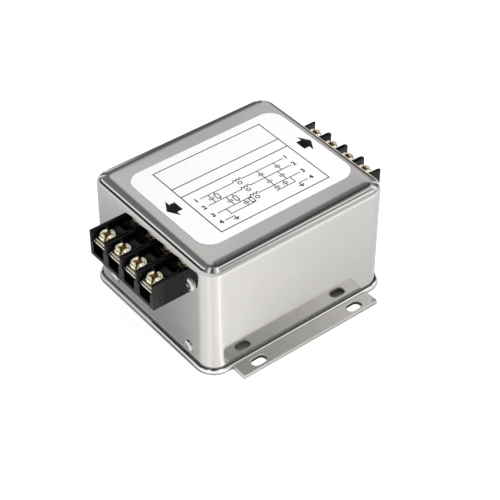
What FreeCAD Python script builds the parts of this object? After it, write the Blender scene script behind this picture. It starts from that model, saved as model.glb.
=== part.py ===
import FreeCAD, Part
import math
import os

Vector = FreeCAD.Vector

# Millimetres. The origin is the middle of the base plate's underside, with Z up.
# X runs from the line end (low X) to the load end (high X), and the ears are at low and high Y.

# Case can, drawn from one sheet, with an outward lip at its mouth
can_length = 103.0
can_width = 90.5
can_height = 60.0
can_corner_r = 8.5
can_top_r = 3.9
sheet_t = 1.0
lip_reach = 1.5
lip_bend_r = 0.8

# Base plate: a thin rim under the can's lip, a raised middle inside the can, and two slotted ears
plate_t = 3.0
rim_t = 1.0
middle_gap = 0.15
ear_lip_gap = 0.8
plate_margin = 1.8
ear_length = 80.2
ear_reach = 10.15
ear_corner_r = 0.8
slot_length = 8.0
slot_width = 4.8
slot_pitch = 57.2
slot_edge = 4.1

# Rating label
label_length = 87.3
label_width = 61.7
label_corner_r = 8.0
label_t = 0.25
label_shift_x = 2.1
label_shift_y = 0.7

# Terminal strips
pole_count = 4
pole_pitch = 12.0
strip_drop = 12.05
strip_height = 14.0
strip_reach = 14.8
barrier_t = 2.6
end_barrier_t = 1.6
barrier_nose = 0.45
barrier_nose_length = 1.3
groove_width = 0.9
groove_depth = 0.8
groove_wall_gap = 1.2
groove_front_gap = 1.9
pillar_t = 4.2
pocket_floor = 2.0
pocket_gap = 0.8
deck_height = 8.25
bridge_gap = 0.7
bridge_rise = 2.3
flange_t = 3.0
flange_rise = 3.4
flange_edge = 4.75
flange_corner_r = 3.0
boss_depth = 4.0
window_gap = 0.2

# Contact bars
bar_edge_gap = 0.25
bar_t = 0.8
bar_front_gap = 0.65
bar_slot_gap = 0.1
bar_side_gap = 0.1
collar_r = 3.0
collar_height = 1.8
tail_width = 5.0
tail_length = 5.2

# Terminal screws with their spring washers and clamp plates
screw_setback = 5.55
thread_r = 2.0
thread_gap = 0.05
washer_bore_gap = 0.2
screw_tip_gap = 0.5
screw_point = 0.6
screw_head_r = 4.0
screw_head_height = 2.3
screw_crown_r = 1.3
screw_slot_width = 1.1
screw_slot_depth = 1.1
screw_cross_width = 1.4
screw_cross_reach = 2.5
screw_cross_depth = 1.5
screw_turn = 52.0
spring_r = 3.4
spring_t = 1.0
spring_split = 0.8
clamp_width = 7.5
clamp_length = 8.8
clamp_t = 0.8
clamp_lift = 0.6
clamp_corner_r = 0.6

# Blind rivets
rivet_shank_r = 2.0
rivet_hole_gap = 0.05
rivet_head_r = 3.1
rivet_head_height = 1.3
rivet_head_edge = 0.25
rivet_dome_share = 0.74
rivet_core_r = 0.9
rivet_core_depth = 0.8
rivet_bulb_r = 2.9
rivet_bulb_height = 2.2
rivet_bulb_taper = 0.7
base_rivet_pitch = 58.0
strip_rivet_pitch = 63.5
strip_rivet_rise = 5.45
base_rivet_height = 5.0

# Angles that tie the can to the base plate
angle_t = 1.5
angle_bend_r = 1.5
angle_leg = 9.0
angle_height = 11.0
angle_width = 72.0

# Insulating sheet, circuit board, spacers and board screws
insulator_t = 0.5
insulator_gap = 1.0
insulator_hole_gap = 0.6
spacer_height = 9.0
spacer_flats = 6.0
spacer_inset = 8.0
spacer_gap = 0.15
board_t = 1.6
board_edge = 2.5
board_corner_r = 2.0
board_screw_r = 1.5
board_screw_length = 6.5
board_screw_head_r = 2.8
board_screw_head_height = 1.9
board_screw_head_taper = 0.6
board_screw_gap = 0.05

# Choke: a cased ring core with three windings
core_wall = 11.0
core_height = 16.0
core_edge_r = 2.0
winding_count = 3
winding_span = 98.0
winding_t = 1.9
winding_chamfer = 2.0
winding_gap = 0.15
turn_rise = 0.6
turn_count = 9
turn_fill = 0.6

# Capacitors and discharge resistors
part_gap = 1.5
lead_gap = 2.4
row_count = 3
cap_space = 1.0
cap_length = 17.0
cap_width = 9.0
cap_height = 15.0
cap_chamfer = 0.8
disc_space = 4.0
disc_r = 5.0
disc_t = 4.0
disc_edge = 1.2
disc_stand = 1.5
leg_r = 0.4
leg_pitch = 5.0
resistor_r = 2.0
resistor_waist_r = 1.6
resistor_length = 10.0
resistor_cap = 1.8
resistor_space = 1.6
resistor_stand = 1.5

# Leads from the contact bars to the board
lead_r = 1.25
lead_bow = 3.0
lead_straight = 5.0

# Sizes that follow from the ones above
can_bottom = rim_t
can_top = can_bottom + can_height
wall_x = -can_length / 2
inner_x = wall_x + sheet_t
flange_x = inner_x + flange_t
flange_width = strip_rivet_pitch + 2 * flange_edge
boss_x = flange_x + boss_depth
strip_top = can_top - strip_drop
strip_bottom = strip_top - strip_height
front_x = wall_x - strip_reach
deck_z = strip_bottom + deck_height
bar_top = deck_z + bar_t
bridge_top = bar_top + bridge_rise
bay_width = pole_pitch - barrier_t
bar_width = bay_width - 2 * bar_edge_gap
strip_width = (pole_count - 1) * pole_pitch + bay_width + 2 * end_barrier_t
pocket_width = pole_pitch - pillar_t
screw_x = front_x + screw_setback
bridge_x = screw_x + screw_head_r + bridge_gap
pocket_back = screw_x + collar_r + pocket_gap
clamp_bottom = bar_top + clamp_lift
spring_bottom = clamp_bottom + clamp_t
head_bottom = spring_bottom + spring_t
screw_length = head_bottom - strip_bottom - pocket_floor - screw_tip_gap
tail_end_x = boss_x + tail_length
lead_x = tail_end_x - tail_width / 2
base_rivet_z = plate_t + base_rivet_height
strip_middle_z = (strip_bottom + strip_top) / 2
board_bottom = plate_t + spacer_height
board_top = board_bottom + board_t
cap_x = -lead_x - lead_r - lead_gap - cap_width / 2
choke_reach = cap_x - cap_width / 2 - part_gap
core_outer_r = choke_reach - turn_rise - winding_t - winding_gap
core_inner_r = core_outer_r - core_wall
row_y = choke_reach + part_gap + max(disc_t, 2 * resistor_r) / 2
board_length = 2 * (-lead_x + lead_r + board_edge)
cap_pitch = cap_length + cap_space
disc_pitch = 2 * disc_r + disc_space
resistor_pitch = resistor_length + 6 * leg_r + resistor_space
spacer_x = board_length / 2 - spacer_inset
spacer_y = (row_count - 1) / 2 * cap_pitch + cap_length / 2 + spacer_gap + board_screw_head_r
board_width = 2 * (spacer_y + spacer_inset)


def brick(x0, x1, y0, y1, z0, z1):
    return Part.makeBox(x1 - x0, y1 - y0, z1 - z0, Vector(x0, y0, z0))


def rounded_brick(length, width, corner_r, z0, z1):
    solid = brick(-length / 2, length / 2, -width / 2, width / 2, z0, z1)
    uprights = [e for e in solid.Edges if abs(e.tangentAt(e.FirstParameter).z) > 0.99]
    return solid.makeFillet(corner_r, uprights)


def edges_at_height(solid, z):
    level = []
    for edge in solid.Edges:
        box = edge.BoundBox
        if abs(box.ZMin - z) < 1e-3 and abs(box.ZMax - z) < 1e-3:
            level.append(edge)
    return level


def within(edges, length, width):
    """Those of the edges that lie inside a rectangle about the origin."""
    inside = []
    for edge in edges:
        box = edge.BoundBox
        if max(-box.XMin, box.XMax) < length / 2 + 0.01 and max(-box.YMin, box.YMax) < width / 2 + 0.01:
            inside.append(edge)
    return inside


def rod(radius, x, y, z0, z1):
    return Part.makeCylinder(radius, z1 - z0, Vector(x, y, z0))


def hole_along_x(radius, x0, x1, y, z):
    return Part.makeCylinder(radius, x1 - x0, Vector(x0, y, z), Vector(1, 0, 0))


def flat(point):
    return Vector(point[0], 0, point[1])


def outline(start, *steps):
    """Closed wire in the XZ plane. A step of one point is a straight run, and a step of two is an arc."""
    edges = []
    here = flat(start)
    for step in steps:
        there = flat(step[-1])
        if len(step) == 2:
            edges.append(Part.Arc(here, flat(step[0]), there).toShape())
        else:
            edges.append(Part.LineSegment(here, there).toShape())
        here = there
    edges.append(Part.LineSegment(here, flat(start)).toShape())
    return Part.Face(Part.Wire(edges))


def turned(face, angle=360.0):
    return face.revolve(Vector(0, 0, 0), Vector(0, 0, 1), angle)


def arc_middle(centre, radius, degrees):
    turn = math.radians(degrees)
    return (centre[0] + radius * math.cos(turn), centre[1] + radius * math.sin(turn))


def moved(shape, x, y, z):
    copy = shape.copy()
    copy.translate(Vector(x, y, z))
    return copy


def turned_about_z(shape, degrees):
    copy = shape.copy()
    copy.rotate(Vector(0, 0, 0), Vector(0, 0, 1), degrees)
    return copy


def at_load_end(shape):
    return turned_about_z(shape, 180)


def both_ends(shape):
    return [shape, at_load_end(shape)]


def row(count, pitch):
    return [(i - (count - 1) / 2) * pitch for i in range(count)]


def join(shapes):
    return shapes[0].multiFuse(shapes[1:]).removeSplitter()


def pole_rows():
    return row(pole_count, pole_pitch)


def case_can():
    shell = rounded_brick(can_length, can_width, can_corner_r, can_bottom, can_top)
    shell = shell.makeFillet(can_top_r, edges_at_height(shell, can_top))
    lip_length = can_length + 2 * lip_reach
    lip_width = can_width + 2 * lip_reach
    lip_top = can_bottom + sheet_t
    lip = rounded_brick(lip_length, lip_width, can_corner_r + lip_reach, can_bottom, lip_top)
    shell = shell.fuse(lip).removeSplitter()
    shell = shell.makeFillet(lip_bend_r, within(edges_at_height(shell, lip_top), can_length, can_width))
    hollow = rounded_brick(can_length - 2 * sheet_t, can_width - 2 * sheet_t, can_corner_r - sheet_t,
                           can_bottom - sheet_t, can_top - sheet_t)
    hollow = hollow.makeFillet(can_top_r - sheet_t, edges_at_height(hollow, can_top - sheet_t))
    shell = shell.cut(hollow)
    mouth = within(edges_at_height(shell, can_bottom), can_length, can_width)
    shell = shell.makeFillet(lip_bend_r + sheet_t, mouth)
    return shell.cut(Part.makeCompound(both_ends(wall_cutters())))


def base_rivet_places():
    return [(y, base_rivet_z) for y in row(2, base_rivet_pitch)]


def strip_rivet_places():
    """The two rivets of a strip lie on a diagonal: one above the middle of its height, one below."""
    half = strip_rivet_pitch / 2
    return [(-half, strip_middle_z + strip_rivet_rise), (half, strip_middle_z - strip_rivet_rise)]


def wall_cutters():
    """The strip's window and the rivet holes of the line end."""
    half = strip_width / 2 + window_gap
    x0 = wall_x - sheet_t
    x1 = inner_x + sheet_t
    window = brick(x0, x1, -half, half, strip_bottom - window_gap, strip_top + window_gap)
    radius = rivet_shank_r + rivet_hole_gap
    places = base_rivet_places() + strip_rivet_places()
    holes = [hole_along_x(radius, x0, x1, y, z) for y, z in places]
    return Part.makeCompound([window] + holes)


def slot_cutter(x, y):
    """A slot with round ends, long along X."""
    half = (slot_length - slot_width) / 2
    radius = slot_width / 2
    middle = brick(x - half, x + half, y - radius, y + radius, -1, plate_t + 1)
    ends = [rod(radius, x + side * half, y, -1, plate_t + 1) for side in (-1, 1)]
    return join([middle] + ends)


def base_plate():
    """The rim carries the can's lip, the middle fits in the can, and the ears start outside the lip."""
    length = can_length + 2 * plate_margin
    width = can_width + 2 * plate_margin
    inside = sheet_t + middle_gap
    rim = rounded_brick(length, width, can_corner_r + plate_margin, 0, rim_t)
    middle = rounded_brick(can_length - 2 * inside, can_width - 2 * inside, can_corner_r - inside, 0, plate_t)
    ears = rounded_brick(ear_length, can_width + 2 * ear_reach, ear_corner_r, 0, plate_t)
    clear = can_width / 2 + lip_reach + ear_lip_gap
    ears = ears.cut(brick(-ear_length, ear_length, -clear, clear, rim_t, plate_t + 1))
    plate = join([rim, middle, ears])
    slot_y = can_width / 2 + ear_reach - slot_edge
    for x in row(2, slot_pitch):
        for y in (-slot_y, slot_y):
            plate = plate.cut(slot_cutter(x, y))
    return plate


def rating_label():
    label = rounded_brick(label_length, label_width, label_corner_r, can_top, can_top + label_t)
    return moved(label, label_shift_x, label_shift_y, 0)


def bay_cutter(y):
    """Room over one contact bar: straight sided, then flared where the barriers' noses taper."""
    half = bay_width / 2
    flare = half + barrier_nose
    taper_x = front_x + barrier_nose_length
    corners = [(bridge_x, half), (taper_x, half), (front_x, flare), (front_x - 1, flare),
               (front_x - 1, -flare), (front_x, -flare), (taper_x, -half), (bridge_x, -half)]
    points = [Vector(x, y + dy, deck_z) for x, dy in corners]
    face = Part.Face(Part.makePolygon(points + points[:1]))
    return face.extrude(Vector(0, 0, strip_top + 1 - deck_z))


def pole_cutters(y):
    half = bay_width / 2
    pocket = pocket_width / 2
    slot = bar_width / 2 + bar_side_gap
    over_bridge = brick(bridge_x - 1, wall_x, y - half, y + half, bridge_top, strip_top + 1)
    bar_slot = brick(bridge_x - 1, boss_x + 1, y - slot, y + slot, deck_z, bar_top + bar_slot_gap)
    pocket_z = strip_bottom + pocket_floor
    under_bar = brick(front_x - 1, pocket_back, y - pocket, y + pocket, pocket_z, deck_z + 0.01)
    return [bay_cutter(y), over_bridge, bar_slot, under_bar]


def barrier_groove(y):
    half = groove_width / 2
    return brick(front_x + groove_front_gap, wall_x - groove_wall_gap, y - half, y + half,
                 strip_top - groove_depth, strip_top + 1)


def strip_flange():
    """The plate behind the wall, with its four corners rounded."""
    half = flange_width / 2
    flange = brick(inner_x, flange_x, -half, half, strip_bottom - flange_rise, strip_top + flange_rise)
    corners = [e for e in flange.Edges if abs(e.tangentAt(e.FirstParameter).x) > 0.99]
    return flange.makeFillet(flange_corner_r, corners)


def terminal_body():
    half = strip_width / 2
    bar_block = brick(front_x, boss_x, -half, half, strip_bottom, strip_top)
    body = bar_block.fuse(strip_flange()).removeSplitter()
    cutters = []
    for y in pole_rows():
        cutters += pole_cutters(y)
    for y in row(pole_count - 1, pole_pitch):
        cutters.append(barrier_groove(y))
    radius = rivet_shank_r + rivet_hole_gap
    for y, z in strip_rivet_places():
        cutters.append(hole_along_x(radius, inner_x - 1, flange_x + 1, y, z))
    return body.cut(cutters)


def contact_bar(y):
    """A flat bar with a tapped collar under the screw and a round-ended solder tail inside the can."""
    half = bar_width / 2
    tail = tail_width / 2
    bar = brick(front_x + bar_front_gap, boss_x, -half, half, deck_z, bar_top)
    bar = bar.fuse(brick(boss_x, lead_x, -tail, tail, deck_z, bar_top))
    bar = bar.fuse(rod(tail, lead_x, 0, deck_z, bar_top))
    bar = bar.fuse(rod(collar_r, screw_x, 0, deck_z - collar_height, deck_z))
    bar = bar.cut(rod(thread_r + thread_gap, screw_x, 0, deck_z - collar_height - 1, bar_top + 1))
    return moved(bar.removeSplitter(), 0, y, 0)


def clamp_plate():
    plate = rounded_brick(clamp_length, clamp_width, clamp_corner_r, 0, clamp_t)
    return plate.cut(rod(thread_r + washer_bore_gap, 0, 0, -1, clamp_t + 1))


def spring_washer():
    ring = rod(spring_r, 0, 0, 0, spring_t).cut(rod(thread_r + washer_bore_gap, 0, 0, -1, spring_t + 1))
    half = spring_split / 2
    return ring.cut(brick(0, spring_r + 1, -half, half, -1, spring_t + 1))


def terminal_screw():
    """A pan head screw with a slot across its head and a cross recess, its head's underside at height 0."""
    crown = screw_crown_r
    shoulder = (screw_head_r - crown, screw_head_height - crown)
    face = outline(
        (0, screw_head_height),
        [(screw_head_r - crown, screw_head_height)],
        [arc_middle(shoulder, crown, 45), (screw_head_r, screw_head_height - crown)],
        [(screw_head_r, 0)],
        [(thread_r, 0)],
        [(thread_r, screw_point - screw_length)],
        [(thread_r - screw_point, -screw_length)],
        [(0, -screw_length)],
    )
    top = screw_head_height + 1
    slot_y = screw_slot_width / 2
    cross_y = screw_cross_width / 2
    slot_bottom = screw_head_height - screw_slot_depth
    cross_bottom = screw_head_height - screw_cross_depth
    slot = brick(-screw_head_r - 1, screw_head_r + 1, -slot_y, slot_y, slot_bottom, top)
    along = brick(-screw_cross_reach, screw_cross_reach, -cross_y, cross_y, cross_bottom, top)
    across = turned_about_z(along, 90)
    screw = turned(face).cut([slot, along, across])
    return turned_about_z(screw, screw_turn)


def on_every_pole(piece, z):
    """One piece on each screw axis of the line end, as separate solids."""
    return Part.makeCompound([moved(piece, screw_x, y, z) for y in pole_rows()])


def blind_rivet(grip):
    """A set blind rivet along Z: its head's underside at height 0, its bulb behind the grip."""
    dome_height = rivet_dome_share * (rivet_head_height - rivet_head_edge)
    dome_middle = ((rivet_core_r + rivet_head_r) / 2, rivet_head_edge + dome_height)
    face = outline(
        (0, rivet_head_height - rivet_core_depth),
        [(rivet_core_r, rivet_head_height - rivet_core_depth)],
        [(rivet_core_r, rivet_head_height)],
        [dome_middle, (rivet_head_r, rivet_head_edge)],
        [(rivet_head_r, 0)],
        [(rivet_shank_r, 0)],
        [(rivet_shank_r, -grip)],
        [(rivet_bulb_r - rivet_bulb_taper, -grip)],
        [(rivet_bulb_r, -grip - rivet_bulb_taper)],
        [(rivet_bulb_r, -grip - rivet_bulb_height + rivet_bulb_taper)],
        [(rivet_shank_r, -grip - rivet_bulb_height)],
        [(0, -grip - rivet_bulb_height)],
    )
    return turned(face)


def rivets_through_wall(grip, places):
    """Rivets through the line end wall, heads outside."""
    rivet = blind_rivet(grip)
    rivet.rotate(Vector(0, 0, 0), Vector(0, 1, 0), -90)
    return [moved(rivet, wall_x, y, z) for y, z in places]


def end_angle():
    """A folded angle: one leg lies on the base plate and the other against the end wall."""
    outer = angle_bend_r + angle_t
    centre = (inner_x + outer, plate_t + outer)
    face = outline(
        (inner_x + angle_leg, plate_t),
        [(inner_x + angle_leg, plate_t + angle_t)],
        [(inner_x + outer, plate_t + angle_t)],
        [arc_middle(centre, angle_bend_r, 225), (inner_x + angle_t, plate_t + outer)],
        [(inner_x + angle_t, plate_t + angle_height)],
        [(inner_x, plate_t + angle_height)],
        [(inner_x, plate_t + outer)],
        [arc_middle(centre, outer, 225), (inner_x + outer, plate_t)],
    )
    angle = moved(face.extrude(Vector(0, angle_width, 0)), 0, -angle_width / 2, 0)
    radius = rivet_shank_r + rivet_hole_gap
    holes = [hole_along_x(radius, inner_x - 1, inner_x + angle_t + 1, y, z) for y, z in base_rivet_places()]
    return angle.cut(holes)


def spacer_places():
    return [(x, y) for x in (-spacer_x, spacer_x) for y in (-spacer_y, spacer_y)]


def insulating_sheet():
    length = 2 * (-inner_x - angle_leg - insulator_gap)
    width = can_width - 2 * (sheet_t + lip_bend_r + insulator_gap)
    sheet = brick(-length / 2, length / 2, -width / 2, width / 2, plate_t, plate_t + insulator_t)
    radius = spacer_flats / math.sqrt(3) + insulator_hole_gap
    return sheet.cut([rod(radius, x, y, plate_t - 1, board_bottom) for x, y in spacer_places()])


def spacer():
    """A hexagonal spacer with its tapped bore, standing at height 0."""
    corner_r = spacer_flats / math.sqrt(3)
    points = [Vector(*arc_middle((0, 0), corner_r, 60 * i), 0) for i in range(6)]
    hexagon = Part.Face(Part.makePolygon(points + points[:1])).extrude(Vector(0, 0, spacer_height))
    return hexagon.cut(rod(board_screw_r + board_screw_gap, 0, 0, -1, spacer_height + 1))


def board_screw():
    head = rod(board_screw_head_r, 0, 0, 0, board_screw_head_height)
    head = head.makeChamfer(board_screw_head_taper, edges_at_height(head, board_screw_head_height))
    return head.fuse(rod(board_screw_r, 0, 0, -board_screw_length, 0)).removeSplitter()


def circuit_board():
    board = rounded_brick(board_length, board_width, board_corner_r, board_bottom, board_top)
    radius = board_screw_r + board_screw_gap
    return board.cut([rod(radius, x, y, board_bottom - 1, board_top + 1) for x, y in spacer_places()])


def choke_core(z):
    """The ring core in its rounded plastic case."""
    ring = rod(core_outer_r, 0, 0, z, z + core_height)
    ring = ring.cut(rod(core_inner_r, 0, 0, z - 1, z + core_height + 1))
    return ring.makeFillet(core_edge_r, edges_at_height(ring, z) + edges_at_height(ring, z + core_height))


def winding_section(thickness, z):
    """The octagon round the core's section that a layer of the given thickness fills, bore included."""
    inner = core_inner_r - winding_gap - thickness
    outer = core_outer_r + winding_gap + thickness
    low = z - thickness
    high = z + core_height + winding_gap + thickness
    cut = winding_chamfer
    return outline(
        (inner + cut, low), [(outer - cut, low)], [(outer, low + cut)], [(outer, high - cut)],
        [(outer - cut, high)], [(inner + cut, high)], [(inner, high - cut)], [(inner, low + cut)],
    )


def choke_winding(centre_angle, z):
    """One winding: a layer round the core with its turns standing out as ribs."""
    layer = turned(winding_section(winding_t, z), winding_span)
    pitch = winding_span / turn_count
    rib = turned(winding_section(winding_t + turn_rise, z), pitch * turn_fill)
    first = pitch * (1 - turn_fill) / 2
    ribs = [turned_about_z(rib, first + i * pitch) for i in range(turn_count)]
    bore = Part.makeCylinder(core_outer_r + winding_gap, core_height + winding_gap, Vector(0, 0, z))
    bore = bore.cut(rod(core_inner_r - winding_gap, 0, 0, z - 1, z + core_height + 1))
    winding = join([layer] + ribs).cut(bore)
    return turned_about_z(winding, centre_angle - winding_span / 2)


def box_capacitor():
    """A box capacitor on the board, its long side along Y."""
    half_x = cap_width / 2
    half_y = cap_length / 2
    box = brick(-half_x, half_x, -half_y, half_y, board_top, board_top + cap_height)
    sharp = [e for e in box.Edges if e.BoundBox.ZMax > board_top + 0.01]
    return box.makeChamfer(cap_chamfer, sharp)


def disc_capacitor():
    """A disc capacitor standing on its two legs, its axis along Y."""
    half = disc_t / 2
    face = outline(
        (0, half), [(disc_r - disc_edge, half)], [(disc_r, half - disc_edge)], [(disc_r, disc_edge - half)],
        [(disc_r - disc_edge, -half)], [(0, -half)],
    )
    disc = turned(face)
    disc.rotate(Vector(0, 0, 0), Vector(1, 0, 0), 90)
    disc = moved(disc, 0, 0, board_top + disc_stand + disc_r)
    legs = [rod(leg_r, x, 0, board_top, board_top + disc_stand + disc_r) for x in row(2, leg_pitch)]
    return join([disc] + legs)


def discharge_resistor():
    """A resistor lying along X over the board, on two bent legs."""
    half = resistor_length / 2
    waist = half - resistor_cap
    face = outline(
        (0, half), [(resistor_r, half)], [(resistor_r, waist)], [(resistor_waist_r, waist - 0.4)],
        [(resistor_waist_r, 0.4 - waist)], [(resistor_r, -waist)], [(resistor_r, -half)], [(0, -half)],
    )
    body = turned(face)
    body.rotate(Vector(0, 0, 0), Vector(0, 1, 0), 90)
    axis_z = board_top + resistor_stand + resistor_r
    body = moved(body, 0, 0, axis_z)
    leg_x = half + 2 * leg_r
    legs = [rod(leg_r, side * leg_x, 0, board_top, axis_z + leg_r) for side in (-1, 1)]
    legs.append(hole_along_x(leg_r, -leg_x, leg_x, 0, axis_z))
    return join([body] + legs)


def tangent_path(points, share):
    """Straight runs joined by tangent arcs, each as large as the given share of its shorter run allows."""
    edges = []
    here = points[0]
    for i in range(1, len(points) - 1):
        before = points[i - 1] - points[i]
        after = points[i + 1] - points[i]
        setback = share * min(before.Length, after.Length)
        start = points[i] + before.normalize() * setback
        end = points[i] + after.normalize() * setback
        half_angle = before.getAngle(after) / 2
        radius = setback * math.tan(half_angle)
        bisector = (before + after).normalize()
        middle = points[i] + bisector * (radius / math.sin(half_angle) - radius)
        edges.append(Part.LineSegment(here, start).toShape())
        edges.append(Part.Arc(start, middle, end).toShape())
        here = end
    edges.append(Part.LineSegment(here, points[-1]).toShape())
    return Part.Wire(edges)


def lead():
    """An insulated lead from a bar's tail down to the board, bowed a little towards the end wall."""
    heights = [deck_z, deck_z - lead_straight, (deck_z + board_top) / 2, board_top + lead_straight, board_top]
    bows = [0, 0, lead_bow, 0, 0]
    points = [Vector(lead_x - bow, 0, z) for bow, z in zip(bows, heights)]
    path = tangent_path(points, 0.45)
    circle = Part.Wire([Part.makeCircle(lead_r, points[0], Vector(0, 0, 1))])
    return path.makePipeShell([circle], True, False)


def save(name, shape):
    shape.exportStep("parts/" + name + ".step")


def save_case():
    save("case_can", case_can())
    save("base_plate", base_plate())
    save("rating_label", rating_label())
    angle = end_angle()
    save("line_end_angle", angle)
    save("load_end_angle", at_load_end(angle))
    rivets = rivets_through_wall(sheet_t + angle_t, base_rivet_places())
    save("base_rivets", Part.makeCompound(rivets + [at_load_end(r) for r in rivets]))


def save_terminals():
    body = terminal_body()
    groups = {
        "clamp_plates": on_every_pole(clamp_plate(), clamp_bottom),
        "spring_washers": on_every_pole(spring_washer(), spring_bottom),
        "terminal_screws": on_every_pole(terminal_screw(), head_bottom),
        "strip_rivets": Part.makeCompound(rivets_through_wall(sheet_t + flange_t, strip_rivet_places())),
    }
    save("line_terminal_body", body)
    save("load_terminal_body", at_load_end(body))
    for name, group in groups.items():
        save("line_" + name, group)
        save("load_" + name, at_load_end(group))
    for i, y in enumerate(pole_rows()):
        pole = str(pole_count - i)
        save("line_contact_bar_" + pole, contact_bar(y))
        save("load_contact_bar_" + pole, at_load_end(contact_bar(-y)))
        save("line_lead_" + pole, moved(lead(), 0, y, 0))
        save("load_lead_" + pole, at_load_end(moved(lead(), 0, -y, 0)))


def save_board():
    save("insulating_sheet", insulating_sheet())
    save("circuit_board", circuit_board())
    spacers = [moved(spacer(), x, y, plate_t) for x, y in spacer_places()]
    save("board_spacers", Part.makeCompound(spacers))
    screws = [moved(board_screw(), x, y, board_top) for x, y in spacer_places()]
    save("board_screws", Part.makeCompound(screws))


def save_choke():
    z = board_top + winding_t + turn_rise
    save("choke_core", choke_core(z))
    for i in range(winding_count):
        save("choke_winding_" + str(i + 1), choke_winding(90 + i * 360 / winding_count, z))


def save_components():
    for i, y in enumerate(row(row_count, cap_pitch)):
        save("line_capacitor_" + str(i + 1), moved(box_capacitor(), -cap_x, y, 0))
        save("load_capacitor_" + str(i + 1), moved(box_capacitor(), cap_x, y, 0))
    for i, x in enumerate(row(row_count, disc_pitch)):
        save("earth_capacitor_" + str(i + 1), moved(disc_capacitor(), x, -row_y, 0))
    for i, x in enumerate(row(row_count, resistor_pitch)):
        save("discharge_resistor_" + str(i + 1), moved(discharge_resistor(), x, row_y, 0))


os.makedirs("parts", exist_ok=True)
save_case()
save_terminals()
save_board()
save_choke()
save_components()
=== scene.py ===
from math import cos, pi, radians, sin, tan

import bmesh
import bpy
import numpy as np
from mathutils import Matrix, Vector
from mathutils.geometry import delaunay_2d_cdt


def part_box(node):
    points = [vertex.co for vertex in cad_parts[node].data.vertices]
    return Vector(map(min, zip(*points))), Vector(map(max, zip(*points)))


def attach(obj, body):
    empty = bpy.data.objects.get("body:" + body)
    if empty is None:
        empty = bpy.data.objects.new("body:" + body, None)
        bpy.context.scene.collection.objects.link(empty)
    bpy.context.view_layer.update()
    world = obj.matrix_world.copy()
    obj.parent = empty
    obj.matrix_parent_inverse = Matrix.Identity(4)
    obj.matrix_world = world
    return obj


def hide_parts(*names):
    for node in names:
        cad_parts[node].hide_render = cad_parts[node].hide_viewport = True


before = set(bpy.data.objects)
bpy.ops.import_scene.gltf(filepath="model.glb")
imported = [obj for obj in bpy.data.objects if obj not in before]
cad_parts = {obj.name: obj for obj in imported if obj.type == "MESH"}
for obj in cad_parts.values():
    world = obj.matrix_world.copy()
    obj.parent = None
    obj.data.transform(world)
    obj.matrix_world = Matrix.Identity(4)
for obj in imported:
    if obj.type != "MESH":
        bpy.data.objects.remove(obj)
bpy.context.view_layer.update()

mm = 0.001


# Base plate: one flat plate of plated steel, stamped to its outline with two ears that reach past the
# can on the long sides. Each ear has two slots for the mounting bolts.

class Wire:
    """A shader socket used in arithmetic: an operator adds one Math node, and node() adds any other."""

    def __init__(self, tree, socket=None):
        self.tree = tree
        self.socket = socket

    def node(self, kind, settings, inputs, output=0):
        """A node with its settings, a ramp's stops among them, and a value or a wire for each input."""
        made = self.tree.nodes.new("ShaderNode" + kind)
        stops = settings.pop("stops", None)
        for name, value in settings.items():
            setattr(made, name, value)
        if stops:
            ramp = made.color_ramp
            while len(ramp.elements) < len(stops):
                ramp.elements.new(0.5)
            for element, (position, grey) in zip(ramp.elements, stops):
                element.position = position
                element.color = (grey, grey, grey, 1)
        for key, value in inputs.items():
            if isinstance(value, Wire):
                self.tree.links.new(value.socket, made.inputs[key])
            else:
                made.inputs[key].default_value = value
        return Wire(self.tree, made.outputs[output] if made.outputs else None)

    def math(self, operation, *values):
        return self.node("Math", {"operation": operation}, dict(enumerate(values)))

    def __add__(self, other):
        return self.math("ADD", self, other)

    def __sub__(self, other):
        return self.math("SUBTRACT", self, other)

    def __rsub__(self, other):
        return self.math("SUBTRACT", other, self)

    def __mul__(self, other):
        return self.math("MULTIPLY", self, other)

    def __truediv__(self, other):
        return self.math("DIVIDE", self, other)

    def __pow__(self, other):
        return self.math("POWER", self, other)

    def __abs__(self):
        return self.math("ABSOLUTE", self)

    def __lt__(self, other):
        return self.math("LESS_THAN", self, other)

    def __gt__(self, other):
        return self.math("GREATER_THAN", self, other)

    __radd__ = __add__
    __rmul__ = __mul__

    def axis(self, letter):
        """One coordinate of these points."""
        return self.node("SeparateXYZ", {}, {"Vector": self}, letter)

    def mapped(self, low, high, to_low, to_high, easing="LINEAR"):
        """This wire's range from low to high laid on the range to_low to to_high, and held past its ends."""
        return self.node("MapRange", {"interpolation_type": easing}, {
            "Value": self, "From Min": low, "From Max": high, "To Min": to_low, "To Max": to_high})

    def ramp(self, stops):
        """The grey that the stops (position, grey) give at this wire's value."""
        return self.node("ValToRGB", {"stops": stops}, {"Fac": self})

    def mix(self, first, second):
        """From first to second as this wire goes from 0 to 1, each of them a colour or a wire."""
        first, second = (end if isinstance(end, Wire) else (*end, 1) for end in (first, second))
        return self.node("Mix", {"data_type": "RGBA"}, {0: self, 6: first, 7: second}, 2)

    def noise(self, size, detail=2.0):
        """Noise whose lumps are about the given size in metres, read at this wire's points."""
        return self.node("TexNoise", {}, {"Vector": self, "Scale": 1 / size, "Detail": detail}, "Fac")

    def stretched(self, x, y, z):
        """These points scaled along each axis, so that a pattern runs long along the smallest."""
        return self.node("Mapping", {}, {"Vector": self, "Scale": (x, y, z)})

    def bumped(self, strength, depth):
        """The surface normal tilted by this wire read as a height, depth in metres from 0 to 1."""
        return self.node("Bump", {}, {"Height": self, "Strength": strength, "Distance": depth}, "Normal")


def material(name, paint):
    """A material whose Principled sockets are what paint(object coordinates) returns."""
    made = bpy.data.materials.new(name)
    made.use_nodes = True
    made.node_tree.nodes.clear()
    start = Wire(made.node_tree)
    points = start.node("TexCoord", {}, {}, "Object")
    surface = start.node("BsdfPrincipled", {}, paint(points))
    start.node("OutputMaterial", {}, {"Surface": surface})
    return made


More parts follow.
